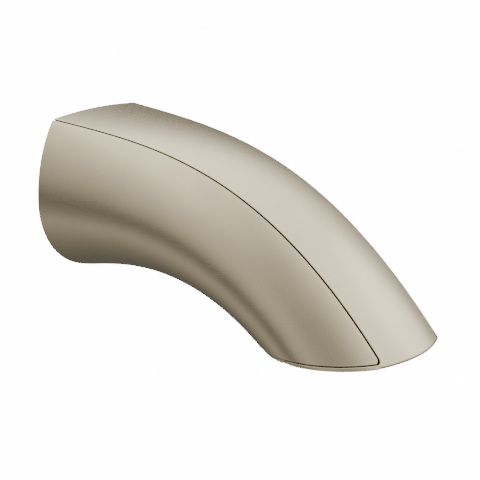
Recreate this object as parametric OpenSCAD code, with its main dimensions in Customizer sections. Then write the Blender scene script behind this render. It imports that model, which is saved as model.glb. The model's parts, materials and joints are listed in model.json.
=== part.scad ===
// Wall mounted bath spout: a curved hollow casing closed by a long crowned cover,
// with the waterway inside it and a pull-down shower diverter at the outlet.
// The wall is the plane y = 0, the spout reaches out along -Y, and the origin is on
// the inlet's axis. Distances out from the wall are called d (d = -y).

/* [Top edges] */
// Reach from the wall to the front end of the top edges
reach = 178; // [176:0.5:180]
// Height of the top edges above the inlet axis at the wall
top_z = 41; // [40.4:0.2:41.6]
// Height of the outlet plane, the lowest face of the lip
outlet_z = -48.9; // [-49.5:0.2:-48.3]
// Length of the start handle of the top edges
top_start = 61.3; // [59:1:64]
// Fall of the top edges along their start handle
top_start_drop = 6.7; // [6.3:0.1:7.1]
// Length of the steep end handle of the top edges
top_end = 99; // [97:1:101]
// Slope of the top edges at the tip, in degrees
top_end_slope = 51.9; // [51:0.5:53]

/* [Underside] */
// Height of the underside at the wall
under_z = -34.6; // [-35.4:0.2:-34]
// Distance of the heel, the back of the outlet, from the wall
heel_d = 107.6; // [107:0.4:108.6]
// Length of the flat start handle of the underside
under_start = 10.4; // [9:0.5:12]
// Length of the end handle of the underside
under_end = 54.8; // [54:0.5:56]
// Slope of the underside at the heel, in degrees
under_end_slope = 36.7; // [36:0.5:37.5]

/* [Widths] */
// Width of the cover at the wall
cover_w_wall = 60.6; // [60:0.5:61]
// How the cover narrows between its ends: the middle value of a quadratic curve
cover_w_mid = 49.1; // [48.5:0.5:49.5]
// Width of the cover at the tip
cover_w_tip = 48; // [47.5:0.5:48.5]
// Greatest width of the casing at the wall
body_w_wall = 84.6; // [84:0.5:85]
// Greatest width of the casing at the outlet
body_w_outlet = 88; // [87.5:0.5:88.5]
// Crown of the cover at the wall
crown_wall = 1.6; // [1:0.25:2]
// Crown of the cover at the tip
crown_tip = 4.4; // [3.5:0.25:4.5]

/* [Shells] */
// Wall thickness of the casing and the cover
wall = 3.2; // [3:0.1:3.4]
// Gap between the casing and the cover
seam_gap = 0.6; // [0.4:0.1:0.8]
// Thickness of the lip under the casing
lip_t = 1.8; // [1.6:0.1:2]
// How far the lip stays inside the casing at the heel
lip_inset = 8; // [7:1:9]
// Thickness of the casing at the heel
heel_t = 7; // [6:0.5:7.5]

/* [Inlet] */
// Radius of the 1/2 inch pipe thread's minor diameter
inlet_r = 9.3; // [9.2:0.05:9.35]
// Length of the inlet thread
inlet_len = 15; // [14:0.5:16]
// Outer radius of the adapter's round part
adapter_r = 11.5; // [11.4:0.1:11.8]
// Length of the adapter
adapter_len = 42; // [41:0.5:42.5]
// Distance of the set screw from the wall
set_screw_d = 14; // [13:0.5:15]

/* [Waterway] */
// Outer radius of the waterway tube
tube_r = 7; // [6.8:0.1:7.2]
// Inner radius of the waterway tube
tube_bore_r = 5.5; // [5:0.1:5.6]
// Radius of the tube's two bends
bend_r = 20; // [19:1:20]
// Angle of the tube's two bends
bend_a = 45; // [44:1:46]

/* [Outlet and diverter] */
// Distance of the outlet's axis from the wall
outlet_d = 138; // [137:0.5:138.5]
// Inner radius of the pull ring
ring_bore_r = 9; // [8.8:0.1:9.1]
// Outer radius of the pull ring
ring_r = 10.6; // [10.5:0.05:10.6]
// Running clearance round the pull ring and the stem
run_gap = 0.06; // [0.04:0.01:0.08]
// How far the pull ring stands below the lip
ring_drop = 2.5; // [2:0.25:3]
// Travel of the diverter
travel = 5.7; // [5:0.1:5.7]
// Radius of the diverter's stem
stem_r = 1.7; // [1.6:0.05:1.75]

/* [Hidden] */

$fn = 64;
eps = 0.01;

// colours
satin_nickel = [0.76, 0.71, 0.63];
brass = [0.75, 0.6, 0.3];
steel = [0.75, 0.76, 0.78];
rubber = [0.12, 0.12, 0.13];
fibre = [0.45, 0.2, 0.15];
foam = [0.35, 0.35, 0.36];
acetal = [0.9, 0.9, 0.87];

// ---------------------------------------------------------------- casing's curves
// A cubic Bezier curve through four numbers or points
function cubic(p, t) =
    p[0] * pow(1 - t, 3) + 3 * p[1] * pow(1 - t, 2) * t + 3 * p[2] * (1 - t) * t * t + p[3] * pow(t, 3);
// A quadratic Bezier curve through three numbers
function quadratic(p, t) = p[0] * pow(1 - t, 2) + 2 * p[1] * (1 - t) * t + p[2] * t * t;
function mix(a, b, t) = a * (1 - t) + b * t;

// Points [d, z] of the top edges and of the underside's centre line
top_curve = [
    [0, top_z],
    [top_start, top_z - top_start_drop],
    [reach - top_end * cos(top_end_slope), outlet_z + top_end * sin(top_end_slope)],
    [reach, outlet_z]
];
under_curve = [
    [0, under_z],
    [under_start, under_z],
    [heel_d - under_end * cos(under_end_slope), outlet_z + under_end * sin(under_end_slope)],
    [heel_d, outlet_z]
];
function cover_w(t) = quadratic([cover_w_wall, cover_w_mid, cover_w_tip], t);
function body_w(t) = mix(body_w_wall, body_w_outlet, pow(t, 6));
function crown_at(t) = mix(crown_wall, crown_tip, t);

// Where a curve comes down to height z, near its outlet end
function time_at(curve, z, lo = 0.85, hi = 1, n = 24) =
    let (m = (lo + hi) / 2)
    n == 0 ? m
    : cubic(curve, m)[1] > z ? time_at(curve, z, m, hi, n - 1)
    : time_at(curve, z, lo, m, n - 1);

// A section is [time, top point, under point]: it lies in the plane of x and the line
// from the top edge to the underside. top_k and under_k end the casing above the outlet.
function section(t, top_k = 1, under_k = 1) = [t, cubic(top_curve, t * top_k), cubic(under_curve, t * under_k)];
function depth(s) = norm(s[2] - s[1]);
// Height of the widest point, counted from the top edge
function widest_h(s) = -mix(0.49, 0.445, s[0]) * depth(s);
// [x, h] is a point of a section, with h the height along it above the top edge
function place(s, p) =
    let (q = s[1] - p[1] * (s[2] - s[1]) / depth(s))
    [p[0], -q[0], q[1]];

// One side of a section, from its top corner to the bottom, as [x, h].
// half: half the width at the corner, wide: the greatest half width, hi and lo: the
// corner's and the bottom's heights, cut: how far below the corner the side starts
upper_steps = 6;
lower_steps = 9;
function side(s, half, wide, hi, lo, cut = 0) =
    let (
        mid = widest_h(s),
        rise = (hi - mid) / sin(acos(half / wide)),
        start = asin((hi - cut - mid) / rise),
        power = 2 / mix(2.08, 1.88, pow(s[0], 4))
    )
    concat(
        [for (i = [0 : upper_steps - 1])
            let (a = start * (1 - i / upper_steps))
            [wide * cos(a), mid + rise * sin(a)]],
        [for (i = [0 : lower_steps])
            let (a = 90 * i / lower_steps)
            [wide * pow(cos(a), power), mid + (lo - mid) * pow(sin(a), power)]]
    );
// A whole U: the left side down, and the right side up again
function mirrored(half_outline) = concat(
    [for (p = half_outline) [-p[0], p[1]]],
    [for (i = [len(half_outline) - 2 : -1 : 0]) half_outline[i]]
);
function backwards(list) = [for (i = [len(list) - 1 : -1 : 0]) list[i]];

stations = 24;

// Half the seam's gap, measured across and along the top at the 45 degree mitre
slant = seam_gap / 2 * sqrt(2) / 2;

// The casing's section: a U of even wall, thicker where the underside meets the outlet
function floor_t(t) = mix(wall, heel_t, pow(t, 6));
function body_ring(s) =
    let (
        half = cover_w(s[0]) / 2,
        wide = body_w(s[0]) / 2,
        outside = side(s, half, wide, 0, -depth(s), 2 * slant),
        inside = side(s, half - wall + slant, wide - wall, -wall - slant, floor_t(s[0]) - depth(s))
    )
    concat(mirrored(outside), backwards(mirrored(inside)));

// The cover's section: crowned above, mitred at its edges, hollowed a little below
crown_steps = 8;
function crown_line(half, edge, b) =
    [for (i = [0 : crown_steps])
        let (x = edge * (1 - 2 * i / crown_steps))
        [x, b * (1 - pow(x / half, 2))]];
function cover_ring(s) =
    let (
        half = cover_w(s[0]) / 2,
        b = crown_at(s[0]),
        foot = half - wall - slant
    )
    concat(
        crown_line(half, half - 2 * slant, b),
        [for (i = [0 : crown_steps])
            let (c = 2 * i / crown_steps - 1)
            [c * foot, slant - wall + 0.3 * b * (1 - c * c)]]
    );

// The lip's outline at height z: it follows the casing at the sides and the cover in
// front, where it stands a hair proud, with its corners cut round, and it stays inside
// the casing at the heel. grown: how much wider it is all round than the lip itself
lip_proud = 0.15;
lip_side_inset = 0.2;
function lip_ring(z, grown = 0) =
    let (
        t = time_at(top_curve, z, hi = 1.05),
        s = [1, cubic(top_curve, t), [heel_d, z]],
        half = cover_w_tip / 2,
        wide = body_w_outlet / 2 - lip_side_inset + grown,
        front = crown_line(half, half * (1 - 2 / crown_steps), crown_tip + lip_proud),
        round_back = mirrored(side(s, half, wide, 0, lip_inset - grown - depth(s), 1.5))
    )
    [for (p = concat(front, round_back)) place(s, p)];

// Skin over a list of rings with the same even number of points, closed at both ends by
// strips between the ring's first half and its second half
module loft(rings) {
    n = len(rings[0]);
    m = len(rings);
    points = [for (r = rings) for (p = r) p];
    sides = [for (i = [0 : m - 2]) for (j = [0 : n - 1])
        let (a = i * n + j, b = i * n + (j + 1) % n, c = a + n, d = b + n)
        each [[a, b, d], [a, d, c]]];
    strip = [for (j = [0 : n / 2 - 2]) each [[j, j + 1, n - 2 - j], [j, n - 2 - j, n - 1 - j]]];
    first = [for (f = strip) backwards(f)];
    last = [for (f = strip) [for (k = f) k + (m - 1) * n]];
    polyhedron(points = points, faces = concat(first, sides, last));
}
function placed(s, ring) = [for (p = ring) place(s, p)];

// ---------------------------------------------------------------- small helpers
// A cylinder whose axis leaves the wall: from distance d0 to d1, through x and z
module along(d0, d1, r, x = 0, z = 0) {
    translate([x, -d0, z]) rotate([90, 0, 0]) cylinder(r = r, h = d1 - d0);
}
// A standing cylinder from height z0 to z1 at x and distance d
module upright(z0, z1, r, x = 0, d = outlet_d) {
    translate([x, -d, z0]) cylinder(r = r, h = z1 - z0);
}
// A ring of round section, lying on its side round the inlet axis or standing
module o_ring(mean_r, cord_r) {
    rotate_extrude() translate([mean_r, 0]) circle(r = cord_r, $fn = 24);
}
// A six-sided bar along the spout
module hex_along(d0, d1, flats, z = 0) {
    translate([0, -d0, z]) rotate([90, 30, 0]) cylinder(d = flats / cos(30), h = d1 - d0, $fn = 6);
}
// A pan-head screw with a hex socket; its head lies below z = 0 and its shank above
module screw(shank_r, shank_len, head_r, head_h) {
    difference() {
        union() {
            cylinder(r = shank_r, h = shank_len);
            translate([0, 0, -head_h]) cylinder(r = head_r, h = head_h);
        }
        translate([0, 0, -head_h - eps]) cylinder(r = head_r * 0.5, h = head_h * 0.6, $fn = 6);
    }
}
module left_and_right(x) {
    for (s = [-1, 1]) translate([s * x, 0, 0]) children();
}

// ---------------------------------------------------------------- heights and places
heel_rim_d = 136;
lip_top = outlet_z + lip_t;
body_bottom = lip_top + seam_gap;
gasket_t = 0.7;
flange_z = lip_top + gasket_t;
flange_t = 3.2;
flange_top = flange_z + flange_t;

// Wall end
gasket_groove = 2;
gasket_land = 1.3;
bridge_d = 9;
bridge_t = 3;
cover_screw_x = 11;
bridge_h = 8;
bridge_half = 33.5;
cover_screw_z = top_z - 13.3;
lug_top = top_z - 3.4;
set_screw_r = 2.5;
set_screw_len = 18;
set_boss_z = under_z + 5.3;
boss_r = 5.5;

// Socket
socket_d0 = 22;
socket_d1 = 46;
socket_r = 15;
nose_d1 = 56;
nose_r = 10;
ear_x = 34.2;
ear_r = 4.2;
ear_t = 3;
ear_boss_r = 6.5;
screw_r = 2;
thread_r = 1.7;

// Tube
bend_drop = bend_r * (1 - cos(bend_a));
port_z = outlet_z + 15.3;
slope_len = (-port_z - 2 * bend_drop) / sin(bend_a);
tube_d0 = 47;
bend_d0 = 60;
bend_d1 = bend_d0 + 2 * bend_r * sin(bend_a) + slope_len * cos(bend_a);
tube_d1 = 124;

// Chamber
chamber_bore_r = 12.2;
chamber_r = 14.8;
cavity_r = 11;
cavity_wall = 2.2;
cavity_top = outlet_z + 20.8;
seat_z = outlet_z + 9.3;
guide_t = 3;
guide_bottom = seat_z - guide_t;
outlet_ear_x = 34.6;
outlet_ear_r = 4.2;
outlet_boss_x = 35.8;
outlet_boss_r = 5;
outlet_boss_top = outlet_z + 16.8;
pin_x = 32;
pin_d = 156;
pin_r = 1.25;
pin_hole_top = outlet_z + 8.8;
nut_flange_t = 1.2;
nut_flange_r = 15.5;
port_d0 = 113;
port_r = 9.4;
small_head_r = 2.9;
small_head_h = 2.2;
small_sink = 1.8;

// Valve
seal_bottom = seat_z + travel + 0.3;
seal_t = 1.5;
disc_bottom = seal_bottom + seal_t;
disc_t = 2;
disc_r = 9.7;
ring_bottom = outlet_z - ring_drop;
ring_top = guide_bottom - 0.5;
hub_r = 3;
hub_t = 3;
spring_r = 3.6;
wire_r = 0.35;
spring_turns = 4;

// ---------------------------------------------------------------- casing and cover
module shell() {
    difference() {
        loft([for (i = [stations : -1 : 0]) let (s = section(i / stations)) placed(s, body_ring(s))]);
        lip_room();
    }
}
// The casing's rim comes down to the outlet plane at the heel, behind the lip, and ends
// above the lip in front of that
module lip_room() {
    translate([0, 0, outlet_z - 1]) linear_extrude(height = body_bottom - outlet_z + 1) {
        translate([-body_w_wall, -reach - 10]) square([2 * body_w_wall, reach + 10 - heel_rim_d]);
        polygon([for (p = lip_ring(outlet_z, seam_gap)) [p[0], p[1]]]);
    }
}
// The wall end's outline, inset all round, as a flat shape in x and z
module wall_outline(inset) {
    s = section(0);
    outline = side(s, cover_w_wall / 2 - inset, body_w_wall / 2 - inset, -inset, inset - depth(s));
    translate([0, top_z]) polygon(mirrored(outline));
}
module wall_plate(inset, d1) {
    translate([0, eps, 0]) rotate([90, 0, 0]) linear_extrude(height = d1 + eps) wall_outline(inset);
}
module spout_body() {
    color(satin_nickel) difference() {
        union() {
            shell();
            // bridge behind the cover's lugs
            translate([-bridge_half, -bridge_d - bridge_t, cover_screw_z - bridge_h / 2 - 0.5])
                cube([2 * bridge_half, bridge_t, bridge_h]);
            // bosses for the set screw, the socket and the chamber
            upright(set_boss_z, -15, boss_r, 0, set_screw_d);
            left_and_right(ear_x) along(socket_d0 + ear_t, 37, ear_boss_r);
            left_and_right(outlet_boss_x) upright(flange_top, outlet_boss_top, outlet_boss_r);
            // bosses for the locating pins
            left_and_right(pin_x) upright(body_bottom + 0.2, pin_hole_top + 2, 2.6, 0, pin_d);
        }
        // groove for the wall gasket
        wall_plate(gasket_land, gasket_groove);
        upright(under_z, -10, set_screw_r, 0, set_screw_d);
        left_and_right(ear_x) along(socket_d0, 35, thread_r);
        left_and_right(outlet_ear_x) upright(flange_z, outlet_boss_top, thread_r);
        left_and_right(pin_x) upright(body_bottom - 1, pin_hole_top, pin_r, 0, pin_d);
        left_and_right(cover_screw_x) along(bridge_d - 1, bridge_d + bridge_t + 1, screw_r + 0.15, 0, cover_screw_z);
    }
}
module top_cover() {
    // the plate ends inside the lip
    top_k = time_at(top_curve, outlet_z + 0.6);
    under_k = time_at(under_curve, outlet_z + 0.6);
    sections = [for (i = [stations : -1 : 0]) section(i / stations, top_k, under_k)];
    color(satin_nickel) difference() {
        union() {
            loft([for (s = sections) placed(s, cover_ring(s))]);
            loft([lip_ring(outlet_z), lip_ring(lip_top)]);
            // lugs for the two screws at the wall end
            left_and_right(cover_screw_x) {
                translate([-4, -bridge_d - bridge_t - 10.3, cover_screw_z - 4])
                    cube([8, 10, lug_top - cover_screw_z + 4]);
            }
        }
        wall_plate(gasket_land, gasket_groove);
        left_and_right(cover_screw_x) along(bridge_d, bridge_d + bridge_t + 8, thread_r, 0, cover_screw_z);
        upright(outlet_z - 1, lip_top + 1, chamber_bore_r + 0.4);
        left_and_right(pin_x) upright(outlet_z + 0.6, lip_top + 1, pin_r + 0.05, 0, pin_d);
    }
}
module wall_gasket() {
    color(foam) difference() {
        translate([0, -eps, 0]) wall_plate(gasket_land + 0.05, gasket_groove - eps);
        translate([0, 1, 0]) wall_plate(wall, gasket_groove + 2);
    }
}
module cover_screws() {
    color(steel) left_and_right(cover_screw_x) translate([0, -bridge_d, cover_screw_z])
        rotate([90, 0, 0]) screw(thread_r, 10, 3.4, 2.4);
}
module locating_pins() {
    color(steel) left_and_right(pin_x) upright(outlet_z + 0.8, pin_hole_top - 0.2, pin_r, 0, pin_d);
}

// ---------------------------------------------------------------- inlet
module inlet_adapter() {
    color(brass) difference() {
        union() {
            hex_along(0, 8, 26);
            along(6, adapter_len, adapter_r);
        }
        along(-1, inlet_len, inlet_r);
        along(inlet_len - eps, inlet_len + 1.6, inlet_r + 0.3);
        along(inlet_len, adapter_len + 1, tube_bore_r + 1);
        for (d = [30, 37]) o_ring_groove(d);
        // flat seat for the set screw
        translate([-3, -set_screw_d - 3, -adapter_r - 1]) cube([6, 6, 1.3]);
    }
}
groove_w = 2.4;
groove_depth = 1.5;
module o_ring_groove(d) {
    difference() {
        along(d - groove_w / 2, d + groove_w / 2, adapter_r + 1);
        along(d - groove_w, d + groove_w, adapter_r - groove_depth);
    }
}
module pipe_washer() {
    color(fibre) difference() {
        along(inlet_len, inlet_len + 1.5, inlet_r + 0.2);
        along(inlet_len - 1, inlet_len + 3, tube_bore_r + 1.2);
    }
}
module adapter_oring(d) {
    color(rubber) translate([0, -d, 0]) rotate([90, 0, 0]) o_ring(adapter_r - groove_depth + 0.76, 0.75);
}
module adapter_oring_rear() {
    adapter_oring(30);
}
module adapter_oring_front() {
    adapter_oring(37);
}
module set_screw() {
    seat = -adapter_r + 0.3;
    color(steel) translate([0, -set_screw_d, seat - set_screw_len]) difference() {
        cylinder(r = set_screw_r, h = set_screw_len);
        translate([0, 0, -eps]) cylinder(r = 1.45, h = 4, $fn = 6);
    }
}

// ---------------------------------------------------------------- waterway
module waterway_socket() {
    color(brass) difference() {
        union() {
            along(socket_d0, socket_d1, socket_r);
            along(socket_d1, nose_d1, nose_r);
            translate([-ear_x, -socket_d0 - ear_t, -ear_r]) cube([2 * ear_x, ear_t, 2 * ear_r]);
            left_and_right(ear_x) along(socket_d0, socket_d0 + ear_t, ear_r);
        }
        along(socket_d0 - 1, adapter_len + 0.5, adapter_r + 0.05);
        along(socket_d0, nose_d1 + 1, tube_r + 0.05);
        left_and_right(ear_x) along(socket_d0 - 1, socket_d0 + ear_t + 1, screw_r + 0.15);
        along(51, 53.4, tube_r + 1.5);
    }
}
module socket_screws() {
    color(steel) left_and_right(ear_x) translate([0, -socket_d0, 0])
        rotate([90, 0, 0]) screw(thread_r, 12, 3.4, 2.4);
}
// The tube's centre line: points [d, z, slope] with the slope in degrees downwards
bend_steps = 5;
function tube_route(d0, d1) = concat(
    [[d0, 0, 0]],
    [for (i = [0 : bend_steps])
        let (a = bend_a * i / bend_steps)
        [bend_d0 + bend_r * sin(a), bend_r * (cos(a) - 1), a]],
    [for (i = [bend_steps : -1 : 0])
        let (a = bend_a * i / bend_steps)
        [bend_d1 - bend_r * sin(a), port_z + bend_r * (1 - cos(a)), a]],
    [[d1, port_z, 0]]
);
tube_sides = 24;
// A circle of radius r round a point of the centre line
function tube_ring(p, r) = [for (j = [0 : tube_sides - 1])
    let (a = -360 * j / tube_sides)
    [r * cos(a), -p[0] - r * sin(a) * sin(p[2]), p[1] + r * sin(a) * cos(p[2])]];
module waterway_tube() {
    color(brass) difference() {
        loft([for (p = tube_route(tube_d0, tube_d1)) tube_ring(p, tube_r)]);
        loft([for (p = tube_route(tube_d0 - 1, tube_d1 + 1)) tube_ring(p, tube_bore_r)]);
    }
}
module union_nut() {
    color(brass) difference() {
        hex_along(socket_d1 + 0.5, nose_d1 + 3, 24);
        along(socket_d1, nose_d1, nose_r + 0.05);
        along(nose_d1 - 1, nose_d1 + 4, tube_r + 0.1);
    }
}
module tube_oring_rear() {
    color(rubber) translate([0, -52.2, 0]) rotate([90, 0, 0]) o_ring(tube_r + 0.75, 0.73);
}
module tube_oring_front() {
    color(rubber) translate([0, -117.5, port_z]) rotate([90, 0, 0]) o_ring(tube_r + 0.75, 0.73);
}

// ---------------------------------------------------------------- outlet
module diverter_chamber() {
    color(brass) difference() {
        union() {
            upright(flange_z, flange_top, 17);
            upright(flange_z, seat_z + 1, chamber_r);
            upright(seat_z, cavity_top + 2, cavity_r + cavity_wall);
            translate([-outlet_ear_x, -outlet_d - outlet_ear_r, flange_z])
                cube([2 * outlet_ear_x, 2 * outlet_ear_r, flange_t]);
            left_and_right(outlet_ear_x) upright(flange_z, flange_top, outlet_ear_r);
            along(port_d0, outlet_d - cavity_r, port_r, 0, port_z);
        }
        upright(flange_z - 1, seat_z, chamber_bore_r);
        upright(seat_z - 1, cavity_top, cavity_r);
        along(port_d0 - 1, tube_d1, tube_r + 0.05, 0, port_z);
        along(port_d0, outlet_d - 3, tube_bore_r - 0.2, 0, port_z);
        along(116.3, 118.7, tube_r + 1.5, 0, port_z);
        left_and_right(outlet_ear_x) {
            upright(flange_z - 1, flange_top + 1, screw_r + 0.15);
            upright(flange_z - 1, flange_z + small_sink, small_head_r + 0.2);
        }
    }
}
module chamber_screws() {
    color(steel) left_and_right(outlet_ear_x) translate([0, -outlet_d, flange_z + small_sink])
        screw(thread_r, 10, small_head_r, small_head_h);
}
module outlet_gasket() {
    color(rubber) difference() {
        upright(lip_top, flange_z, 17);
        upright(lip_top - 1, flange_z + 1, chamber_bore_r + 0.4);
    }
}
module outlet_nut() {
    color(satin_nickel) difference() {
        union() {
            upright(outlet_z - nut_flange_t, outlet_z, nut_flange_r);
            upright(outlet_z - eps, guide_bottom, chamber_bore_r);
        }
        upright(outlet_z - 3, guide_bottom + 1, ring_r + run_gap);
        // two slots for a pin spanner
        for (a = [0, 180]) translate([0, -outlet_d, 0]) rotate([0, 0, a])
            translate([ring_r + 2.2, -1, outlet_z - nut_flange_t - 1]) cube([4, 2, 1.7]);
    }
}
guide_holes = 10;
module stem_guide() {
    color(acetal) difference() {
        upright(guide_bottom, seat_z, chamber_bore_r);
        upright(guide_bottom - 1, seat_z + 1, stem_r + run_gap);
        upright(seat_z - 2, seat_z + 1, spring_r + wire_r + 0.3);
        for (i = [0 : guide_holes - 1]) {
            a = 360 * i / guide_holes;
            upright(guide_bottom - 1, seat_z + 1, 1.6, 7.3 * cos(a), outlet_d + 7.3 * sin(a));
        }
    }
}

// ---------------------------------------------------------------- diverter
module diverter_stem() {
    color(steel) {
        upright(ring_top - hub_t, disc_bottom + disc_t + 1.3, stem_r);
        upright(disc_bottom - 1, disc_bottom, stem_r + 0.9);
    }
}
module valve_disc() {
    color(brass) difference() {
        upright(disc_bottom, disc_bottom + disc_t, disc_r);
        upright(disc_bottom - 1, disc_bottom + disc_t + 1, stem_r);
    }
}
module valve_seal() {
    color(rubber) difference() {
        upright(seal_bottom, disc_bottom, disc_r);
        upright(seal_bottom - 1, disc_bottom + 1, spring_r + wire_r + 0.6);
    }
}
module stem_clip() {
    color(steel) difference() {
        upright(disc_bottom + disc_t, disc_bottom + disc_t + 0.8, 3.4);
        upright(disc_bottom, disc_bottom + disc_t + 2, stem_r);
        translate([-1.2, -outlet_d, disc_bottom + disc_t - 1]) cube([2.4, 5, 3]);
    }
}
// A coil spring: a round wire swept up a helix, with a flat turn at each end
wire_sides = 8;
coil_steps = 20;
spring_bottom = seat_z - 2;
spring_len = disc_bottom - spring_bottom;
function spring_rise(u) =
    wire_r + (spring_len - 2 * wire_r) * max(0, min(1, (u * (spring_turns + 1.5) - 0.75) / spring_turns));
function coil_ring(i, total) =
    let (u = i / total, a = 360 * (spring_turns + 1.5) * u, z = spring_bottom + spring_rise(u))
    [for (j = [0 : wire_sides - 1])
        let (b = -360 * j / wire_sides, r = spring_r + wire_r * cos(b))
        [r * cos(a), r * sin(a) - outlet_d, z + wire_r * sin(b)]];
module return_spring() {
    total = coil_steps * (spring_turns + 1.5);
    color(steel) loft([for (i = [0 : total]) coil_ring(i, total)]);
}
module pull_ring() {
    color(satin_nickel) difference() {
        union() {
            difference() {
                upright(ring_bottom, ring_top, ring_r);
                upright(ring_bottom - 1, ring_top + 1, ring_bore_r);
            }
            upright(ring_top - hub_t, ring_top, hub_r);
            for (a = [90, 210, 330]) translate([0, -outlet_d, ring_top - hub_t]) rotate([0, 0, a])
                translate([hub_r - 0.8, -0.9, 0.3]) cube([ring_bore_r + 1.2 - hub_r, 1.8, hub_t - 0.6]);
        }
        upright(ring_bottom, ring_top + 1, stem_r);
    }
}

spout_body();
top_cover();
wall_gasket();
cover_screws();
locating_pins();
inlet_adapter();
pipe_washer();
adapter_oring_rear();
adapter_oring_front();
set_screw();
waterway_socket();
socket_screws();
waterway_tube();
union_nut();
tube_oring_rear();
tube_oring_front();
diverter_chamber();
chamber_screws();
outlet_gasket();
outlet_nut();
stem_guide();
diverter_stem();
valve_disc();
valve_seal();
stem_clip();
return_spring();
pull_ring();
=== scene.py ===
"""Looks of a wall mounted bath spout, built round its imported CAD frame.

The wall is the plane y = 0 and the spout reaches out along -Y. Shapes are worked out in
millimetres and meshed in metres; d is the distance out from the wall, d = -y.
"""

import json
import math

import bmesh
import bpy
import numpy as np
from mathutils import Matrix, Vector

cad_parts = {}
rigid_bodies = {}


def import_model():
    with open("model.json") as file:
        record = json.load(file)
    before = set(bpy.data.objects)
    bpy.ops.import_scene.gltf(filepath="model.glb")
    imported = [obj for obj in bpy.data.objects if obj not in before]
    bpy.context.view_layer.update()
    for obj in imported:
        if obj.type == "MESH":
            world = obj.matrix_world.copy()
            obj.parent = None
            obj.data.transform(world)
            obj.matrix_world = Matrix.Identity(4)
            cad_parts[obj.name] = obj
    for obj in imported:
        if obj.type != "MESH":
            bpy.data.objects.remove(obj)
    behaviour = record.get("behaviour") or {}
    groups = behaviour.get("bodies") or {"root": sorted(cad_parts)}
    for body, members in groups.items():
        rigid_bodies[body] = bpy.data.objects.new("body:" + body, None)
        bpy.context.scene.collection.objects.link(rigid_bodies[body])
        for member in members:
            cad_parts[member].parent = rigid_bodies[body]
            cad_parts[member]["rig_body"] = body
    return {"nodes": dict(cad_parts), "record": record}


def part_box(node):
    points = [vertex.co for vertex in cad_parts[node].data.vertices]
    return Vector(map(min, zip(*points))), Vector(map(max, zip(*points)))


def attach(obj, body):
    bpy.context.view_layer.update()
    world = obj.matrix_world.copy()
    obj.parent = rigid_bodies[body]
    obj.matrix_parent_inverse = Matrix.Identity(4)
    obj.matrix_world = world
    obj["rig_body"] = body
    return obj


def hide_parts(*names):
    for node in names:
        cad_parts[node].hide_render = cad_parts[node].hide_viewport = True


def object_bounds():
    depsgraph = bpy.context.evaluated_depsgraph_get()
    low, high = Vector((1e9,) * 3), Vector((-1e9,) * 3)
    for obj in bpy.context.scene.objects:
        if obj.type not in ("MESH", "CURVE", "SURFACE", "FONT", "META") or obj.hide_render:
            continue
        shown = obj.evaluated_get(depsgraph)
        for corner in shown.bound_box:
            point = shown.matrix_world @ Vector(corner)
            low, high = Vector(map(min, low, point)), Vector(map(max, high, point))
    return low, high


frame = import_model()
cad_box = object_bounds()

MM = 0.001


def node_mm(node):
    """A CAD node's lowest and highest corners, in millimetres."""
    return [np.array(corner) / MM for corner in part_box(node)]


# ---------------------------------------------------------------- driving dimensions
OUTLET_Z = node_mm("top_cover")[0][2]

# the curve of the top edges: its ends, and how far its control points lie from them
REACH = 178.0
TOP_Z = 41.0
TOP_START = 61.3
TOP_START_DROP = 6.7
TOP_END = 99.0
TOP_END_SLOPE = math.radians(51.9)

# the curve of the underside, down to the heel
UNDER_Z = -34.6
UNDER_START = 10.4
HEEL_D = 107.6
UNDER_END = 54.8
UNDER_END_SLOPE = math.radians(36.7)

# the section at the wall and at the outlet; the cover's width also has a middle value, and
# the height where the section is widest is a share of its depth. The body is 0.24 narrower
# at the outlet than in the CAD, so that its smooth side stays within the CAD's facets.
COVER_W = (60.6, 49.1, 48.0)
BODY_W = (84.6, 87.76)
CROWN = (1.6, 4.4)
WIDEST = (0.49, 0.445)
ROUNDNESS = (2.08, 1.88)

# thicknesses, the seam and the lip
WALL_T = 3.2
FLOOR_T_OUTLET = 7.0
COVER_HOLLOW = 0.3
SEAM_GAP = 0.6
LIP_T = 1.8
LIP_INSET = 8.0
LIP_SIDE_INSET = 0.2
LIP_TOP = OUTLET_Z + LIP_T
BODY_BOTTOM = LIP_TOP + SEAM_GAP
OUTLET_D = 138.0

# small roundings: edges along the seam, the other edges, the seam's turn round the tip's
# corners, the lip's lower edge at the sides and in front, and the ridge at the seam
EDGE_R = 0.25
RIM_R = 0.3
CORNER_R = 2.0
LIP_EDGE_R = 0.6
FRONT_EDGE_R = 1.5
RIDGE_SMOOTH = 1.2

# points of the rings that make up the meshes
ROWS = 110
OUTER_POINTS = 91
COVER_POINTS = 49
INNER_POINTS = 61
MITRE_POINTS = 3
CORNER_POINTS = 3
LIP_LEVELS = 7

# steps of the fine lines that the rings' points are taken from
SIDE_STEPS = 60
CROWN_STEPS = 40
CASING_STEPS = 200
COVER_STEPS = 120
UNDER_STEPS = 30

# sharper than this, an edge isn't shaded smooth
SHARP_ANGLE = 35


# ---------------------------------------------------------------- curves of the casing
def bezier(points, t):
    """A point of the cubic Bezier curve with these four control points."""
    p = np.asarray(points, float)
    s = 1 - t
    return s**3 * p[0] + 3 * s * s * t * p[1] + 3 * s * t * t * p[2] + t**3 * p[3]


def mix(a, b, t):
    return a * (1 - t) + b * t


def ease(t):
    """0 to 1, flat at both ends."""
    t = min(max(t, 0.0), 1.0)
    return t * t * (3 - 2 * t)


TOP_CURVE = [
    (0, TOP_Z),
    (TOP_START, TOP_Z - TOP_START_DROP),
    (REACH - TOP_END * math.cos(TOP_END_SLOPE), OUTLET_Z + TOP_END * math.sin(TOP_END_SLOPE)),
    (REACH, OUTLET_Z),
]
UNDER_CURVE = [
    (0, UNDER_Z),
    (UNDER_START, UNDER_Z),
    (
        HEEL_D - UNDER_END * math.cos(UNDER_END_SLOPE),
        OUTLET_Z + UNDER_END * math.sin(UNDER_END_SLOPE),
    ),
    (HEEL_D, OUTLET_Z),
]


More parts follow.
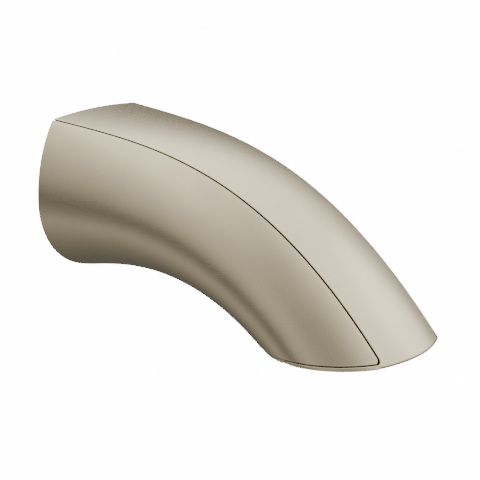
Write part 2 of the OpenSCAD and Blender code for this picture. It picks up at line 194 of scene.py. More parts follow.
def time_at(curve, z):
    """Where a curve comes down to height z, near its outlet end."""
    low, high = 0.85, 1.05
    for _ in range(40):
        middle = (low + high) / 2
        if bezier(curve, middle)[1] > z:
            low = middle
        else:
            high = middle
    return low


TOP_K = time_at(TOP_CURVE, BODY_BOTTOM)
UNDER_K = time_at(UNDER_CURVE, BODY_BOTTOM)
LIP_TIME = time_at(TOP_CURVE, LIP_TOP) / TOP_K
OUTLET_TIME = 1 / TOP_K


class Section:
    """The spout's cross-section at time t: 0 at the wall, 1 where the casing ends, and a
    little more down to the outlet plane, where the sections lie level. Its points are
    [x, h], with h the height above the top edges, along the section."""

    def __init__(self, t):
        self.t = t
        self.top = bezier(TOP_CURVE, t * TOP_K)
        self.under = bezier(UNDER_CURVE, min(t, 1) * UNDER_K)
        in_lip = 0.0
        if t > 1:
            in_lip = ease((t - 1) / (LIP_TIME - 1))
            self.under = np.array([mix(self.under[0], HEEL_D, in_lip), self.top[1]])
        self.depth = np.linalg.norm(self.under - self.top)
        w = min(t, 1)
        v = 1 - w
        self.half = (COVER_W[0] * v * v + 2 * COVER_W[1] * v * w + COVER_W[2] * w * w) / 2
        self.wide = mix(*BODY_W, w**6) / 2 - LIP_SIDE_INSET * in_lip
        self.crown = mix(*CROWN, w)
        self.widest = -mix(*WIDEST, w) * self.depth
        self.power = 2 / mix(*ROUNDNESS, w**4)

    def place(self, points):
        """[x, h] points as points in space, in millimetres."""
        p = np.asarray(points, float)
        down = (self.under - self.top) / self.depth
        q = self.top - p[:, 1:2] * down
        return np.column_stack([p[:, 0], -q[:, 0], q[:, 1]])

    def side(self, half, wide, high, low):
        """The right side, from its top corner at [half, high] to the bottom's middle at low."""
        rise = (high - self.widest) / math.sin(math.acos(half / wide))
        start = math.asin((high - self.widest) / rise)
        a = np.linspace(start, 0, SIDE_STEPS)[:, None]
        b = np.linspace(0, math.pi / 2, SIDE_STEPS)[1:, None]
        upper = np.hstack([wide * np.cos(a), self.widest + rise * np.sin(a)])
        cos_b, sin_b = np.maximum(np.cos(b), 0) ** self.power, np.sin(b) ** self.power
        lower = np.hstack([wide * cos_b, self.widest + (low - self.widest) * sin_b])
        return np.vstack([upper, lower])

    def outline(self, low=None):
        """The right half of the outside, from the crown's middle to the bottom's middle,
        and the corner's distance along it. Near the outlet the corner is smoothed."""
        x = np.linspace(0, self.half, CROWN_STEPS)[:, None]
        crown = np.hstack([x, self.crown * (1 - (x / self.half) ** 2)])
        side = self.side(self.half, self.wide, 0, -self.depth if low is None else low)
        line = np.vstack([crown, side[1:]])
        corner = length_along(crown)[-1]
        smoothing = ease((self.t - 0.75) / 0.25)
        if smoothing > 0:
            line = soften(line, corner, RIDGE_SMOOTH, smoothing)
        return line, corner


def length_along(line):
    return np.concatenate([[0], np.cumsum(np.linalg.norm(np.diff(line, axis=0), axis=1))])


def walk(line, distances):
    """Points of a polyline at these distances along it."""
    along = length_along(line)
    return np.column_stack([np.interp(distances, along, line[:, i]) for i in range(2)])


def soften(line, corner, reach, amount):
    """Draws the stretch round a corner towards a smooth curve between its two ends."""
    along = length_along(line)
    step = 0.2
    first, last = corner - reach, corner + reach
    dense = np.arange(first, last + step / 2, step)
    before_start, start, end, past_end = walk(line, [first - step, first, last, last + step])
    leave = (start - before_start) / step * 2 * reach
    arrive = (past_end - end) / step * 2 * reach
    u = ((dense - dense[0]) / (dense[-1] - dense[0]))[:, None]
    smooth = (
        (2 * u**3 - 3 * u**2 + 1) * start
        + (u**3 - 2 * u**2 + u) * leave
        + (3 * u**2 - 2 * u**3) * end
        + (u**3 - u**2) * arrive
    )
    middle = mix(walk(line, dense), smooth, amount)
    before = line[along < dense[0] - step / 2]
    after = line[along > dense[-1] + step / 2]
    return np.vstack([before, middle, after])


def mirrored(line):
    """A right half that ends in the middle, as a whole line from right to left."""
    return np.vstack([line[:-1], (line * [-1, 1])[::-1]])


def rounded_ring(chains, radii, counts):
    """A closed ring of points from chains that meet at corners. Corner i, between chain i
    and the next, is cut back by radii[i] and rounded."""
    parts = []
    trimmed = []
    for i, chain in enumerate(chains):
        total = length_along(chain)[-1]
        trimmed.append(walk(chain, np.linspace(radii[i - 1], total - radii[i], counts[i])))
    for i, chain in enumerate(chains):
        parts.append(trimmed[i])
        corner = chain[-1]
        following = trimmed[(i + 1) % len(chains)][0]
        u = (np.arange(1, CORNER_POINTS + 1) / (CORNER_POINTS + 1))[:, None]
        parts.append((1 - u) ** 2 * trimmed[i][-1] + 2 * u * (1 - u) * corner + u * u * following)
    return np.vstack(parts)


def inset(ring, amounts):
    """A closed ring of [x, h] points moved inwards by an amount for each point."""
    ahead, behind = np.roll(ring, -1, axis=0), np.roll(ring, 1, axis=0)
    tangent = ahead - behind
    tangent /= np.maximum(np.linalg.norm(tangent, axis=1), 1e-9)[:, None]
    area = np.sum(ring[:, 0] * ahead[:, 1] - ahead[:, 0] * ring[:, 1])
    inward = np.column_stack([-tangent[:, 1], tangent[:, 0]]) * np.sign(area)
    return ring + inward * np.asarray(amounts)[:, None]


def quarter(r, height):
    """How far a rounded edge of radius r is cut back at this height above its face."""
    e = np.clip(height, 0, r)
    return r - np.sqrt(np.maximum(r * r - (r - e) ** 2, 0))


# ---------------------------------------------------------------- rings of both shells
MITRE = np.array([-1.0, -1.0])
SLANT = SEAM_GAP / 2 * math.sqrt(2) / 2
MITRE_LEN = WALL_T - SLANT
TO_LEFT = np.array([-1, 1])
SHELL_EDGES = [EDGE_R, RIM_R, RIM_R, EDGE_R]


def seam_shift(section, bottom, r):
    """How far the seam has turned aside near the outlet, where it rounds the corner."""
    return float(quarter(r, section.top[1] - bottom))


def casing_ring(section):
    """The casing's section: a C of even wall, open at the top."""
    line, corner = section.outline()
    total = length_along(line)[-1]
    edge = corner + 2 * SLANT + seam_shift(section, BODY_BOTTOM, CORNER_R)
    outside = walk(line, np.linspace(edge, total, CASING_STEPS))
    start = outside[0]
    foot = start + MITRE * MITRE_LEN
    floor_t = mix(WALL_T, FLOOR_T_OUTLET, section.t**6)
    inside = section.side(foot[0], section.wide - WALL_T, foot[1], floor_t - section.depth)
    chains = [
        mirrored(outside),
        np.array([start * TO_LEFT, foot * TO_LEFT]),
        mirrored(inside)[::-1],
        np.array([foot, start]),
    ]
    counts = [OUTER_POINTS, MITRE_POINTS, INNER_POINTS, MITRE_POINTS]
    return rounded_ring(chains, SHELL_EDGES, counts)


def cover_ring(section):
    """The cover's section: crowned, mitred at its edges, hollowed a little below."""
    line, corner = section.outline()
    edge = corner - 2 * SLANT + seam_shift(section, LIP_TOP, CORNER_R + SEAM_GAP)
    outside = walk(line, np.linspace(0, edge, COVER_STEPS))[::-1]
    start = outside[0]
    foot = start + MITRE * MITRE_LEN
    c = np.linspace(-1, 1, UNDER_STEPS)[:, None]
    under = np.hstack([c * foot[0], foot[1] + COVER_HOLLOW * section.crown * (1 - c * c)])
    chains = [
        mirrored(outside),
        np.array([start * TO_LEFT, foot * TO_LEFT]),
        under,
        np.array([foot, start]),
    ]
    counts = [COVER_POINTS, MITRE_POINTS, INNER_POINTS, MITRE_POINTS]
    return rounded_ring(chains, SHELL_EDGES, counts)


def row_times(last):
    """Times of the rows, closer together at the wall and near the outlet."""
    near_wall = [0, 0.0001, 0.0003, 0.0006, 0.0012, 0.0025, 0.005, 0.0075, 0.01, 0.014, 0.02]
    near_end = [0.022, 0.018, 0.014, 0.011, 0.0085, 0.0065, 0.005, 0.0035, 0.0025, 0.0015]
    near_end += [0.001, 0.0006, 0.0003, 0.0001, 0]
    middle = np.linspace(near_wall[-1], last - near_end[0], ROWS)[1:-1]
    return [*near_wall, *middle, *[last - e for e in near_end]]


# ---------------------------------------------------------------- meshes
def new_object(name, bm):
    bmesh.ops.recalc_face_normals(bm, faces=bm.faces)
    mesh = bpy.data.meshes.new(name)
    bm.to_mesh(mesh)
    bm.free()
    obj = bpy.data.objects.new(name, mesh)
    bpy.context.scene.collection.objects.link(obj)
    return obj


def add_rows(bm, rows):
    """Vertices of closed rings of points, in millimetres, with faces between the rings."""
    rings = [[bm.verts.new(p * MM) for p in row] for row in rows]
    for a, b in zip(rings, rings[1:]):
        join_rings(bm, a, b)
    return rings


def join_rings(bm, a, b):
    for i in range(len(a)):
        j = (i + 1) % len(a)
        bm.faces.new([a[i], a[j], b[j], b[i]])


def cap(bm, ring, points):
    """Closes a shell's end with a strip of triangles between its outer chain, which has this
    many points, and its inner one. One large face of this shape isn't drawn rightly."""
    end = CORNER_POINTS + (MITRE_POINTS + 1) // 2
    outer, inner = [*ring[-end:], *ring[: points + end]], ring[points + end : -end][::-1]
    at_outer, at_inner = chain_fractions(outer), chain_fractions(inner)
    i, j = 0, 0
    while i < len(outer) - 1 or j < len(inner) - 1:
        if j == len(inner) - 1 or (i < len(outer) - 1 and at_outer[i + 1] <= at_inner[j + 1]):
            bm.faces.new([outer[i], outer[i + 1], inner[j]])
            i += 1
        else:
            bm.faces.new([outer[i], inner[j + 1], inner[j]])
            j += 1


def chain_fractions(chain):
    """How far along a chain each of its vertices is, from 0 to 1."""
    steps = [0.0, *[(b.co - a.co).length for a, b in zip(chain, chain[1:])]]
    return np.cumsum(steps) / sum(steps)


# times before and after which a row is near the wall or the outlet
NEAR_WALL = 0.1
NEAR_OUTLET = 0.9


def rounded_rows(times, ring_of, end_z):
    """Rows of a shell with its rims at the wall and at height end_z rounded."""
    rows = []
    for t in times:
        section = Section(t)
        ring = ring_of(section)
        placed = section.place(ring)
        cut = quarter(RIM_R, -placed[:, 1]) if t < NEAR_WALL else np.zeros(len(ring))
        if end_z is not None and t > NEAR_OUTLET:
            cut = quarter(RIM_R, placed[:, 2] - end_z)
        rows.append(section.place(inset(ring, cut)))
    return rows


def cylinder(bm, r, start, end, segments=64):
    """A closed cylinder between two points, in millimetres."""
    start, end = np.array(start, float), np.array(end, float)
    axis = end - start
    length = np.linalg.norm(axis)
    other = np.array([1.0, 0, 0]) if abs(axis[0]) < 0.5 * length else np.array([0, 0, 1.0])
    u = np.cross(axis, other)
    u /= np.linalg.norm(u)
    v = np.cross(axis / length, u)
    a = np.linspace(0, 2 * math.pi, segments, endpoint=False)
    circle = r * (np.cos(a)[:, None] * u + np.sin(a)[:, None] * v)
    rings = add_rows(bm, [circle + start, circle + end])
    bm.faces.new(rings[0])
    bm.faces.new(rings[-1])


def block(bm, low, high):
    """A closed box between two corners, in millimetres."""
    size = np.array(high, float) - low
    centre = (np.array(high, float) + low) / 2
    at = Matrix.Translation(centre * MM) @ Matrix.Diagonal((*(size * MM), 1))
    bmesh.ops.create_cube(bm, size=1, matrix=at)


def upright(bm, z0, z1, r, x, d):
    cylinder(bm, r, (x, -d, z0), (x, -d, z1))


def along(bm, d0, d1, r, x, z):
    cylinder(bm, r, (x, -d0, z), (x, -d1, z))


def combine(obj, tool, operation):
    """Adds the tool's solids to obj, or cuts them away, and removes the tool."""
    modifier = obj.modifiers.new("combine", "BOOLEAN")
    modifier.operation = operation
    modifier.solver = "MANIFOLD"
    modifier.object = tool
    bake(obj)
    bpy.data.objects.remove(tool)


def bake(obj):
    """Turns an object's modifiers into its mesh."""
    graph = bpy.context.evaluated_depsgraph_get()
    mesh = bpy.data.meshes.new_from_object(obj.evaluated_get(graph))
    obj.modifiers.clear()
    obj.data = mesh


def shade(obj):
    """Smooth shading, with sharp edges kept sharp."""
    mesh = obj.data
    mesh.polygons.foreach_set("use_smooth", [True] * len(mesh.polygons))
    mesh.set_sharp_from_angle(angle=math.radians(SHARP_ANGLE))
    mesh.update()


# ---------------------------------------------------------------- casing and cover
# how far a cutter reaches past a face
PAST = 1.0

# the lip's bore, and where the casing's rim behind the lip has tapered out
LIP_BORE_R = 12.6
HEEL_RIM_D = 141.0

# the gasket's recess
GASKET_LAND = 1.3
GROOVE_DEPTH = 2.0

# how far the lip's front turns into its side, in radii of the rounded edge
TURN_LEN = 1.7

# the casing's bridge, and the cover's lugs that are screwed to it
BRIDGE_D = 9.0
BRIDGE_T = 3.0
BRIDGE_HALF = 33.5
COVER_SCREW_X = 11.0
COVER_SCREW_Z = TOP_Z - 13.3
BRIDGE_Z = (COVER_SCREW_Z - 4.5, COVER_SCREW_Z + 3.5)
LUG_D = BRIDGE_D + BRIDGE_T + 0.3
LUG_LEN = 10.0
LUG_HALF = 4.0
LUG_TOP = TOP_Z - 3.4
SCREW_HOLE_R = 2.15
SCREW_DEPTH = 8.0
THREAD_R = 1.7

# the set screw's boss under the adapter
SET_SCREW_D = 14.0
SET_SCREW_R = 2.5
SET_BOSS_R = 5.5
SET_BOSS_Z = (UNDER_Z + 5.3, -15.0)
SET_HOLE_TOP = -10.0

# bosses beside the socket, and over the outlet beside the chamber
SOCKET_D = 22.0
EAR_X = 34.2
EAR_BOSS_R = 6.5
EAR_BOSS_D = (SOCKET_D + 3.0, 37.0)
EAR_HOLE_END_D = 35.0
OUTLET_EAR_X = 34.6
OUTLET_BOSS_X = 35.8
OUTLET_BOSS_R = 5.0
OUTLET_BOSS_TOP = OUTLET_Z + 16.8
OUTLET_HOLE_TOP = OUTLET_BOSS_TOP - 0.4
FLANGE_Z = LIP_TOP + 0.7
FLANGE_TOP = FLANGE_Z + 3.2

# the two pins between casing and lip
PIN_X = 32.0
PIN_D = 156.0
PIN_R = 1.25
PIN_BOSS_R = 2.6
PIN_BOSS_Z = (BODY_BOTTOM + 0.2, OUTLET_Z + 10.8)
PIN_HOLE_TOP = OUTLET_Z + 8.8
LIP_PIN_R = 1.3
LIP_PIN_Z = OUTLET_Z + 0.6


def groove_plate(bm):
    """The shallow recess for the gasket at the wall end."""
    section = Section(0)
    half, wide = section.half - GASKET_LAND, section.wide - GASKET_LAND
    line = mirrored(section.side(half, wide, -GASKET_LAND, GASKET_LAND - section.depth))
    outline = section.place(line[::2])
    rings = add_rows(bm, [outline + [0, PAST, 0], outline - [0, GROOVE_DEPTH, 0]])
    bm.faces.new(rings[0])
    bm.faces.new(rings[-1])


def lip_room():
    """What is cut from the casing's rim: everything under BODY_BOTTOM, but for the heel's
    rim behind the lip."""
    low, high = OUTLET_Z - PAST, BODY_BOTTOM
    section = Section(OUTLET_TIME)
    section.wide += SEAM_GAP
    line, _ = section.outline(LIP_INSET - SEAM_GAP - section.depth)
    outline = section.place(mirrored(line)[:-1:2])
    over_lip = bmesh.new()
    rings = add_rows(over_lip, [outline * [1, 1, 0] + [0, 0, z] for z in (low, high)])
    over_lip.faces.new(rings[0])
    over_lip.faces.new(rings[1])
    in_front = bmesh.new()
    block(in_front, (-BODY_W[0], -REACH - 10 * PAST, low), (BODY_W[0], -HEEL_RIM_D, high))
    return [new_object("tool", bm) for bm in (over_lip, in_front)]


def make_casing():
    bm = bmesh.new()
    rings = add_rows(bm, rounded_rows(row_times(OUTLET_TIME), casing_ring, OUTLET_Z))
    cap(bm, rings[0], OUTER_POINTS)
    cap(bm, rings[-1], OUTER_POINTS)
    casing = new_object("casing_shell", bm)

    bosses = bmesh.new()
    bridge_end = -BRIDGE_D - BRIDGE_T
    block(bosses, (-BRIDGE_HALF, bridge_end, BRIDGE_Z[0]), (BRIDGE_HALF, -BRIDGE_D, BRIDGE_Z[1]))
    upright(bosses, *SET_BOSS_Z, SET_BOSS_R, 0, SET_SCREW_D)
    holes = bmesh.new()
    groove_plate(holes)
    upright(holes, UNDER_Z, SET_HOLE_TOP, SET_SCREW_R, 0, SET_SCREW_D)
    for s in (-1, 1):
        along(bosses, *EAR_BOSS_D, EAR_BOSS_R, s * EAR_X, 0)
        upright(bosses, FLANGE_TOP, OUTLET_BOSS_TOP, OUTLET_BOSS_R, s * OUTLET_BOSS_X, OUTLET_D)
        upright(bosses, *PIN_BOSS_Z, PIN_BOSS_R, s * PIN_X, PIN_D)
        along(holes, SOCKET_D, EAR_HOLE_END_D, THREAD_R, s * EAR_X, 0)
        upright(holes, FLANGE_Z, OUTLET_HOLE_TOP, THREAD_R, s * OUTLET_EAR_X, OUTLET_D)
        upright(holes, BODY_BOTTOM - PAST, PIN_HOLE_TOP, PIN_R, s * PIN_X, PIN_D)
        screw_x = s * COVER_SCREW_X
        along(holes, BRIDGE_D - PAST, -bridge_end + PAST, SCREW_HOLE_R, screw_x, COVER_SCREW_Z)
    for tool in lip_room():
        combine(casing, tool, "DIFFERENCE")
    combine(casing, new_object("tool", bosses), "UNION")
    combine(casing, new_object("tool", holes), "DIFFERENCE")
    shade(casing)
    return casing


def make_cover():
    """The long crowned plate, and the lip that turns back under the casing from its end."""
    bm = bmesh.new()
    rings = add_rows(bm, rounded_rows(row_times(LIP_TIME), cover_ring, None))
    cap(bm, rings[0], COVER_POINTS)
    add_lip(bm, rings[-1])
    cover = new_object("cover_shell", bm)

    lugs = bmesh.new()
    holes = bmesh.new()
    groove_plate(holes)
    upright(holes, OUTLET_Z - PAST, LIP_TOP + PAST, LIP_BORE_R, 0, OUTLET_D)
    lug_end, lug_bottom = LUG_D + LUG_LEN, COVER_SCREW_Z - LUG_HALF
    screw_end = BRIDGE_D + BRIDGE_T + SCREW_DEPTH
    for s in (-1, 1):
        x = s * COVER_SCREW_X
        block(lugs, (x - LUG_HALF, -lug_end, lug_bottom), (x + LUG_HALF, -LUG_D, LUG_TOP))
        along(holes, BRIDGE_D, screw_end, THREAD_R, x, COVER_SCREW_Z)
        upright(holes, LIP_PIN_Z, LIP_TOP + PAST, LIP_PIN_R, s * PIN_X, PIN_D)
    combine(cover, new_object("tool", lugs), "UNION")
    combine(cover, new_object("tool", holes), "DIFFERENCE")
    shade(cover)
    return cover


def lip_ring(z, fraction, weight):
    """The lip's outline at height z: the front, a turn at the seam's end, the sides and the
    back, and a turn again. Weight is 0 in front and 1 at the sides."""
    section = Section(time_at(TOP_CURVE, z) / TOP_K)
    line, corner = section.outline(LIP_INSET - section.depth)
    total = length_along(line)[-1]
    edge = corner - 2 * SLANT + seam_shift(section, LIP_TOP, CORNER_R + SEAM_GAP)
    front = np.linspace(EDGE_R - edge, edge - EDGE_R, COVER_POINTS)
    turn = edge - EDGE_R + TURN_LEN * EDGE_R * fraction
    spread = np.linspace(turn[-1], 2 * total - turn[-1], OUTER_POINTS + 2)[1:-1]
    around = np.where(spread > total, 2 * total - spread, -spread)
    distances = np.concatenate([front[::-1], -turn, around, turn[::-1]])
    to_side = np.column_stack([np.sign(distances), np.ones(len(distances))])
    ring = walk(line, np.abs(distances)) * to_side
    above = z - OUTLET_Z
    low_edge = mix(quarter(FRONT_EDGE_R, above), quarter(LIP_EDGE_R, above), weight)
    top_edge = quarter(EDGE_R, LIP_TOP - z) * weight
    return section.place(inset(ring, low_edge + top_edge))


def add_lip(bm, plate):
    """The lip's walls and faces, joined to the plate's last ring. Its front carries on the
    plate's outer surface; at the sides and behind its upper edge is rounded as well."""
    fraction = np.arange(1, CORNER_POINTS + 2) / (CORNER_POINTS + 1)
    sides = np.ones(OUTER_POINTS)
    weight = np.concatenate([np.zeros(COVER_POINTS), fraction, sides, fraction[::-1]])
    steps = 1 - np.cos(np.linspace(0, math.pi / 2, LIP_LEVELS))
    levels = [*(LIP_TOP - EDGE_R * steps), *(OUTLET_Z + FRONT_EDGE_R * steps[::-1])]
    loops = [lip_ring(z, fraction, weight) for z in levels]
    left_mitre = COVER_POINTS + CORNER_POINTS
    right_mitre = len(plate) - CORNER_POINTS - 1
    first_side = left_mitre + 1
    last_side = first_side + OUTER_POINTS
    side = [bm.verts.new(p * MM) for p in loops[0][first_side:last_side]]
    top_ring = [*plate[:first_side], *side, *plate[right_mitre:]]
    lower = add_rows(bm, loops[1:])
    join_rings(bm, top_ring, lower[0])
    bm.faces.new([*plate[left_mitre : right_mitre + 1], *side[::-1]])
    bm.faces.new(lower[-1])


# ---------------------------------------------------------------- tube and spring
TUBE_R = (7.0, 5.5)
TUBE_D = (47.0, 124.0)
BEND_START_D = 60.0
BEND_R = 20.0
BEND_A = math.radians(45)
PORT_Z = OUTLET_Z + 15.3
TUBE_SIDES = 48
BEND_STEPS = 17


def tube_line():
    """The tube's centre line as [d, z, slope], through two equal bends."""
    drop = BEND_R * (1 - math.cos(BEND_A))
    slope_len = (-PORT_Z - 2 * drop) / math.sin(BEND_A)
    end = BEND_START_D + 2 * BEND_R * math.sin(BEND_A) + slope_len * math.cos(BEND_A)
    bend = [
        (BEND_R * math.sin(a), BEND_R * (1 - math.cos(a)), a)
        for a in np.linspace(0, BEND_A, BEND_STEPS)
    ]
    first = [(BEND_START_D + out, -down, a) for out, down, a in bend]
    second = [(end - out, PORT_Z + down, a) for out, down, a in bend[::-1]]
    return [(TUBE_D[0], 0, 0), *first, *second, (TUBE_D[1], PORT_Z, 0)]


def tube_ring(at, r):
    """A circle of radius r square to the centre line."""
    d, z, slope = at
    a = np.linspace(0, 2 * math.pi, TUBE_SIDES, endpoint=False)
    out = r * np.sin(a)
    return np.column_stack([r * np.cos(a), -d - out * math.sin(slope), z + out * math.cos(slope)])


def make_tube():
    line = tube_line()
    bm = bmesh.new()
    outside = add_rows(bm, [tube_ring(at, TUBE_R[0]) for at in line])
    inside = add_rows(bm, [tube_ring(at, TUBE_R[1]) for at in line])
    join_rings(bm, outside[0], inside[0])
    join_rings(bm, outside[-1], inside[-1])
    tube = new_object("bent_tube", bm)
    shade(tube)
    return tube


WIRE_R = 0.35
SPRING_R = 3.6
SPRING_TURNS = 4
END_TURNS = 0.75
SPRING_Z = (OUTLET_Z + 7.3, OUTLET_Z + 16.8)
WIRE_SIDES = 16
RINGS_PER_TURN = 48


def make_spring():
    """A round wire swept up a helix, with a flat part of a turn at each end."""
    turns = SPRING_TURNS + 2 * END_TURNS
    rise = SPRING_Z[1] - SPRING_Z[0] - 2 * WIRE_R
    b = np.linspace(0, 2 * math.pi, WIRE_SIDES, endpoint=False)
    r = SPRING_R + WIRE_R * np.cos(b)
    rings = []
    for turn in np.linspace(0, turns, int(turns * RINGS_PER_TURN)):
        a = 2 * math.pi * turn
        risen = min(max((turn - END_TURNS) / SPRING_TURNS, 0), 1)
        z = SPRING_Z[0] + WIRE_R + rise * risen + WIRE_R * np.sin(b)
        rings.append(np.column_stack([r * math.cos(a), r * math.sin(a) - OUTLET_D, z]))
    bm = bmesh.new()
    loops = add_rows(bm, rings)
    bm.faces.new(loops[0])
    bm.faces.new(loops[-1])
    spring = new_object("coil_spring", bm)
    shade(spring)
    return spring


# ---------------------------------------------------------------- materials
class Nodes:
    """Short names for building one material's nodes."""

    def __init__(self, name, metallic, roughness):
        self.material = bpy.data.materials.new(name)
        self.material.use_nodes = True
        self.tree = self.material.node_tree
        self.shader = self.tree.nodes["Principled BSDF"]
        self.shader.inputs["Metallic"].default_value = metallic
        self.shader.inputs["Roughness"].default_value = roughness
        self.coords = self.tree.nodes.new("ShaderNodeTexCoord").outputs["Object"]

    def link(self, start, end):
        self.tree.links.new(start, end)

    def stretched(self, scale):
        """The object's own coordinates, scaled along each axis."""
        node = self.tree.nodes.new("ShaderNodeMapping")
        node.inputs["Scale"].default_value = scale
        self.link(self.coords, node.inputs["Vector"])
        return node.outputs["Vector"]

    def noise(self, vector, scale, detail=3.0, rough=0.5):
        node = self.tree.nodes.new("ShaderNodeTexNoise")
        node.inputs["Scale"].default_value = scale
        node.inputs["Detail"].default_value = detail
        node.inputs["Roughness"].default_value = rough
        self.link(vector, node.inputs["Vector"])
        return node.outputs["Fac"]

    def cells(self, vector, scale):
        node = self.tree.nodes.new("ShaderNodeTexVoronoi")
        node.inputs["Scale"].default_value = scale
        self.link(vector, node.inputs["Vector"])
        return node.outputs["Distance"]

    def between(self, factor, low, high, start=0.3, end=0.7):
        """A number that goes from low to high as the factor goes from start to end."""
        node = self.tree.nodes.new("ShaderNodeMapRange")
        ends = {"From Min": start, "From Max": end, "To Min": low, "To Max": high}
        for name, value in ends.items():
            node.inputs[name].default_value = value
        self.link(factor, node.inputs["Value"])
        return node.outputs["Result"]

    def colours(self, factor, dark, light, start=0.3, end=0.7):
        node = self.tree.nodes.new("ShaderNodeValToRGB")
        ends = node.color_ramp.elements
        ends[0].position, ends[0].color = start, (*dark, 1)
        ends[1].position, ends[1].color = end, (*light, 1)
        self.link(factor, node.inputs["Fac"])
        return node.outputs["Color"]

    def colour(self, output):
        self.link(output, self.shader.inputs["Base Color"])

    def roughness(self, output):
        self.link(output, self.shader.inputs["Roughness"])

    def bump(self, *layers):
        """Layers of (height, strength, distance in metres), one over another."""
        normal = None
        for height, strength, distance in layers:
            node = self.tree.nodes.new("ShaderNodeBump")
            node.inputs["Strength"].default_value = strength
            node.inputs["Distance"].default_value = distance
            self.link(height, node.inputs["Height"])
            if normal:
                self.link(normal, node.inputs["Normal"])
            normal = node.outputs["Normal"]
        self.link(normal, self.shader.inputs["Normal"])


def satin_nickel():
    """Warm brushed nickel: a very fine grain along the spout under a soft satin gloss."""
    m = Nodes("satin_nickel", 1.0, 0.34)
    grain = m.noise(m.stretched((1, 0.03, 1)), 4200, 2.0, 0.6)
    blotches = m.noise(m.coords, 55, 3.0)
    m.colour(m.colours(blotches, (0.61, 0.535, 0.385), (0.64, 0.565, 0.41)))
    m.roughness(m.between(grain, 0.24, 0.32))
    pores = m.noise(m.coords, 2600, 2.0)
    m.bump((grain, 0.12, 0.00002), (pores, 0.06, 0.00002))
    return m.material


def machined_metal(name, dark, light, rough, mark_scale):
    """Machined metal: fine tool marks and a slight tarnish."""
    m = Nodes(name, 1.0, rough)
    tarnish = m.noise(m.coords, 160, 4.0, 0.6)
    marks = m.noise(m.coords, mark_scale, 2.0)
    m.colour(m.colours(tarnish, dark, light))
    m.roughness(m.between(tarnish, rough + 0.12, rough - 0.04))
    m.bump((marks, 0.15, 0.00003))
    return m.material


def rubber():
    m = Nodes("rubber", 0.0, 0.62)
    dust = m.noise(m.coords, 900, 4.0, 0.6)
    m.colour(m.colours(dust, (0.012, 0.012, 0.013), (0.03, 0.03, 0.032)))
    m.roughness(m.between(dust, 0.55, 0.75))
    m.bump((dust, 0.2, 0.00005))
    return m.material


def fibre():
    m = Nodes("fibre", 0.0, 0.8)
    strands = m.noise(m.stretched((1, 1, 0.2)), 1500, 4.0, 0.7)
    m.colour(m.colours(strands, (0.16, 0.045, 0.03), (0.3, 0.1, 0.065)))
    m.roughness(m.between(strands, 0.7, 0.9))
    m.bump((strands, 0.5, 0.00008))
    return m.material


def foam():
    m = Nodes("foam", 0.0, 0.9)
    cells = m.cells(m.coords, 1400)
    m.colour(m.colours(cells, (0.05, 0.05, 0.055), (0.12, 0.12, 0.125), 0.0, 0.6))
    m.roughness(m.between(cells, 0.85, 0.95, 0.0, 0.6))
    m.bump((cells, 0.7, 0.0002))
    return m.material


def acetal():
    m = Nodes("acetal", 0.0, 0.38)
    flow = m.noise(m.coords, 220, 3.0)
    m.colour(m.colours(flow, (0.72, 0.72, 0.68), (0.8, 0.8, 0.77)))
    m.roughness(m.between(flow, 0.34, 0.46))
    m.bump((m.noise(m.coords, 1800, 2.0), 0.08, 0.00003))
    return m.material


MATERIALS = {
    "satin_nickel": satin_nickel(),
    "brass": machined_metal("brass", (0.5, 0.33, 0.12), (0.66, 0.46, 0.19), 0.28, 1400),
    "steel": machined_metal("steel", (0.4, 0.4, 0.41), (0.56, 0.56, 0.58), 0.25, 1800),
    "rubber": rubber(),
    "fibre": fibre(),
    "foam": foam(),
    "acetal": acetal(),
}


def paint(obj, slot):
    obj.data.materials.clear()
    obj.data.materials.append(MATERIALS[slot])


# ---------------------------------------------------------------- pieces
node_slots = {s["node"]: s["material_slot"] for s in frame["record"]["subparts"]}
made = {
    "spout_body": make_casing,
    "top_cover": make_cover,
    "waterway_tube": make_tube,
    "return_spring": make_spring,
}
for node, make in made.items():
    piece = make()
    paint(piece, node_slots[node])
    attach(piece, frame["nodes"][node]["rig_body"])
    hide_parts(node)
for node, obj in frame["nodes"].items():
    if node not in made:
        paint(obj, node_slots[node])

# ---------------------------------------------------------------- floor, light, camera
FLOOR_SIZE = 40.0
FLOOR_DROP = 0.2
FLOOR_GLOW = 14.0


def make_floor():
    """A plain pale floor a little under the spout, which glows so that it stays white."""
    bm = bmesh.new()
    at = Matrix.Translation((0, 0, cad_box[0][2] - FLOOR_DROP))
    bmesh.ops.create_grid(bm, x_segments=2, y_segments=2, size=FLOOR_SIZE, matrix=at)
    floor = new_object("floor", bm)
    m = Nodes("floor", 0.0, 0.9)
    m.colour(m.colours(m.noise(m.coords, 3, 2.0), (0.88, 0.88, 0.88), (0.9, 0.9, 0.9)))
    m.shader.inputs["Emission Color"].default_value = (1, 1, 1, 1)
    m.shader.inputs["Emission Strength"].default_value = FLOOR_GLOW
    floor.data.materials.append(m.material)
    floor.visible_glossy = False


KEY_POWER = 1.5
KEY_SIZE = 0.6
KEY_AT = Vector((1.0, -0.6, 0.45))
KEY_AIM = Vector((0, -0.09, 0))


def make_key_light():
    light = bpy.data.lights.new("key", "AREA")
    light.energy = KEY_POWER
    light.size = KEY_SIZE
    key = bpy.data.objects.new("key", light)
    bpy.context.scene.collection.objects.link(key)
    key.location = KEY_AT
    key.rotation_euler = (KEY_AIM - KEY_AT).to_track_quat("-Z", "Y").to_euler()


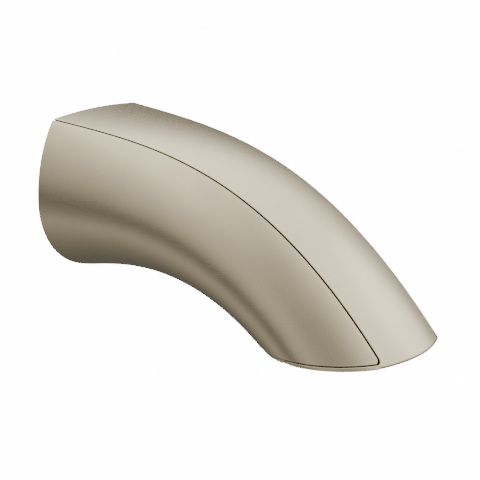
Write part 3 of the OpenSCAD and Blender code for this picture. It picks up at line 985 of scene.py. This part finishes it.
# Brightness of the sky by the height of a direction, from -1, straight down, to 1. Left is
# the side of -X and back the side of the wall. The bright parts are a little warm.
SKY = {
    "left_back": [
        (-1, 0.2), (-0.75, 0.34), (-0.5, 0.54), (-0.3, 0.28), (-0.16, 0.13),
        (0.05, 0.5), (0.3, 0.8), (0.6, 1.35), (0.8, 2.3), (1, 2.6),
    ],
    "left_front": [(-1, 0.34), (-0.5, 0.56), (0, 0.62), (0.35, 0.5), (0.6, 0.4), (1, 1.0)],
    "right_back": [(-1, 0.2), (0, 0.06), (0.25, 0.08), (0.45, 0.9), (0.6, 2.7), (1, 2.6)],
    "right_front": [(-1, 0.22), (-0.3, 0.2), (0, 0.5), (0.3, 1.2), (0.6, 2.2), (1, 2.2)],
}
SKY_TINT = (1.0, 0.97, 0.88)


def make_world():
    """A soft studio whose brightness is blended between four quarters of the sky."""
    world = bpy.data.worlds.new("studio")
    bpy.context.scene.world = world
    world.use_nodes = True
    tree = world.node_tree
    coords = tree.nodes.new("ShaderNodeTexCoord")
    split = tree.nodes.new("ShaderNodeSeparateXYZ")
    tree.links.new(coords.outputs["Generated"], split.inputs["Vector"])

    def ranged(axis, low, high, kind="SMOOTHSTEP"):
        """0 to 1 as a direction's component along an axis goes from low to high."""
        node = tree.nodes.new("ShaderNodeMapRange")
        node.interpolation_type = kind
        node.inputs["From Min"].default_value = low
        node.inputs["From Max"].default_value = high
        tree.links.new(split.outputs[axis], node.inputs["Value"])
        return node.outputs["Result"]

    def quarter_sky(name):
        ramp = tree.nodes.new("ShaderNodeValToRGB")
        stops = SKY[name]
        elements = ramp.color_ramp.elements
        while len(elements) < len(stops):
            elements.new(0.5)
        for element, (z, value) in zip(elements, stops):
            element.position = (z + 1) / 2
            element.color = (*[value * tint for tint in SKY_TINT], 1)
        tree.links.new(height, ramp.inputs["Fac"])
        return ramp.outputs["Color"]

    def blend(factor, first, second):
        node = tree.nodes.new("ShaderNodeMix")
        node.data_type = "RGBA"
        tree.links.new(factor, node.inputs["Factor"])
        colours = [i for i in node.inputs if i.type == "RGBA"]
        for start, end in zip((first, second), colours):
            tree.links.new(start, end)
        return next(o for o in node.outputs if o.type == "RGBA")

    height = ranged("Z", -1, 1, "LINEAR")
    to_right = ranged("X", -0.5, 0.5)
    to_back = ranged("Y", -0.3, 0.5)
    front = blend(to_right, quarter_sky("left_front"), quarter_sky("right_front"))
    back = blend(to_right, quarter_sky("left_back"), quarter_sky("right_back"))
    tree.links.new(blend(to_back, front, back), tree.nodes["Background"].inputs["Color"])
    tree.nodes["Background"].inputs["Strength"].default_value = 1.0


CAMERA_AT = (-0.5583, -0.48271, 0.16345)
CAMERA_TURN = (75.702, 0, -54.615)
CAMERA_LENS = 114.97


def make_camera():
    camera = bpy.data.objects.new("camera", bpy.data.cameras.new("camera"))
    bpy.context.scene.collection.objects.link(camera)
    camera.location = CAMERA_AT
    camera.rotation_euler = [math.radians(a) for a in CAMERA_TURN]
    camera.data.lens = CAMERA_LENS
    bpy.context.scene.camera = camera


make_floor()
make_world()
make_camera()
make_key_light()
